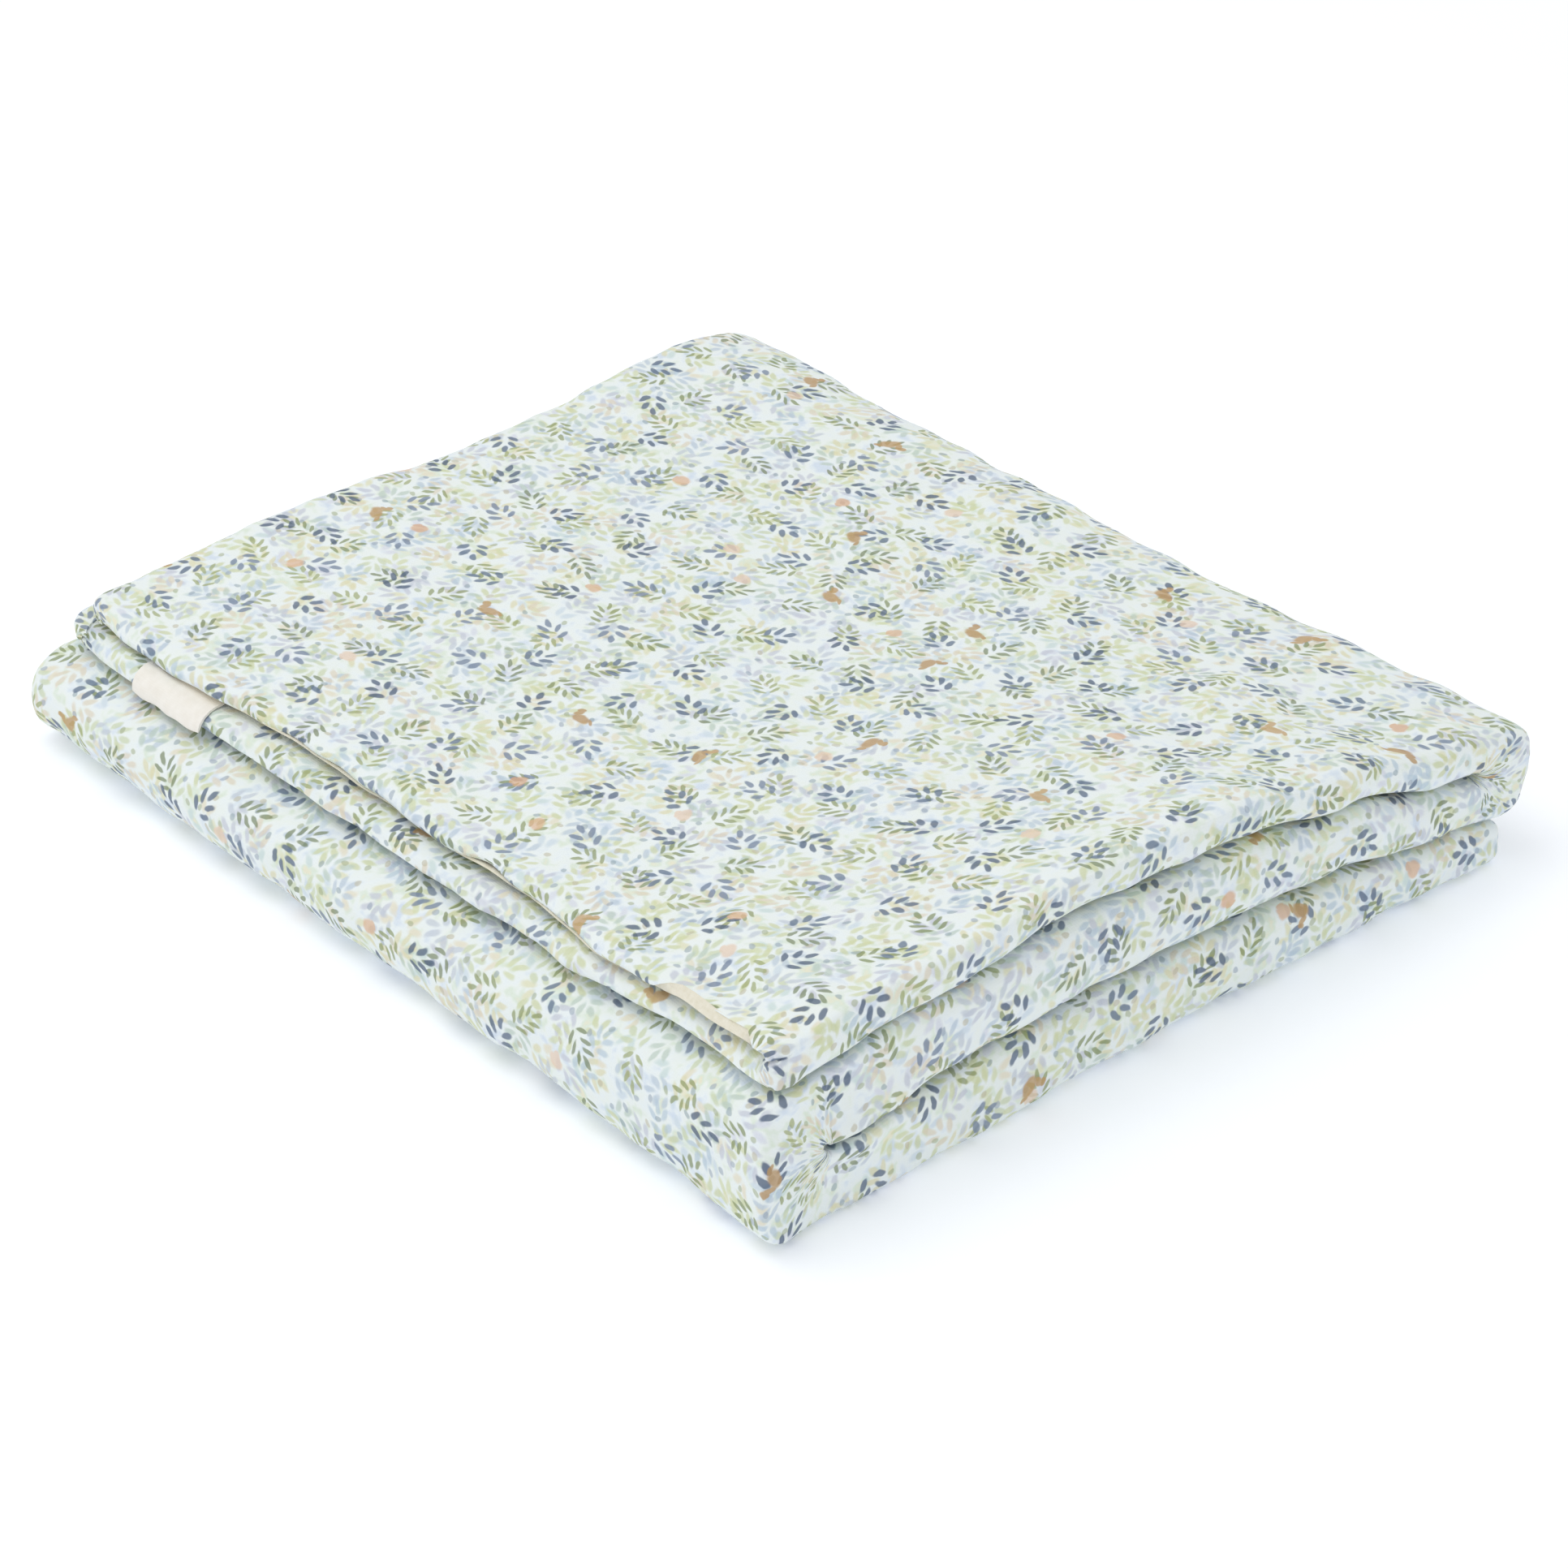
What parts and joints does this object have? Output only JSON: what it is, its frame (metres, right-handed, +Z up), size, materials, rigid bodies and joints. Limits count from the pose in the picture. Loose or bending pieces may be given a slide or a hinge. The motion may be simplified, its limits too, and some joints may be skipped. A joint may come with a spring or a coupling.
{
  "type": "crib blanket",
  "caption": "Folded padded crib blanket with a small-print cotton face, a cream lining that shows at its hems and a bare sewn-in label.",
  "frame": {"origin": "bottom centre of the folded blanket's box, on the surface it lies on", "axes": "+Z up; +X towards the half fold, where all the layers turn; -Y towards the top run's free end with the label"},
  "size_m": [0.5726, 0.4872, 0.1126],
  "materials": {
    "printed_cotton": "matte plain-woven cotton with an all-over print of small leaves",
    "cream_cotton": "matte plain-woven cream cotton",
    "cream_tape": "smooth woven tape, unprinted"
  },
  "bodies": {
    "root": {"blanket_face": "printed_cotton", "blanket_lining": "cream_cotton", "label": "cream_tape"}
  },
  "joints": []
}
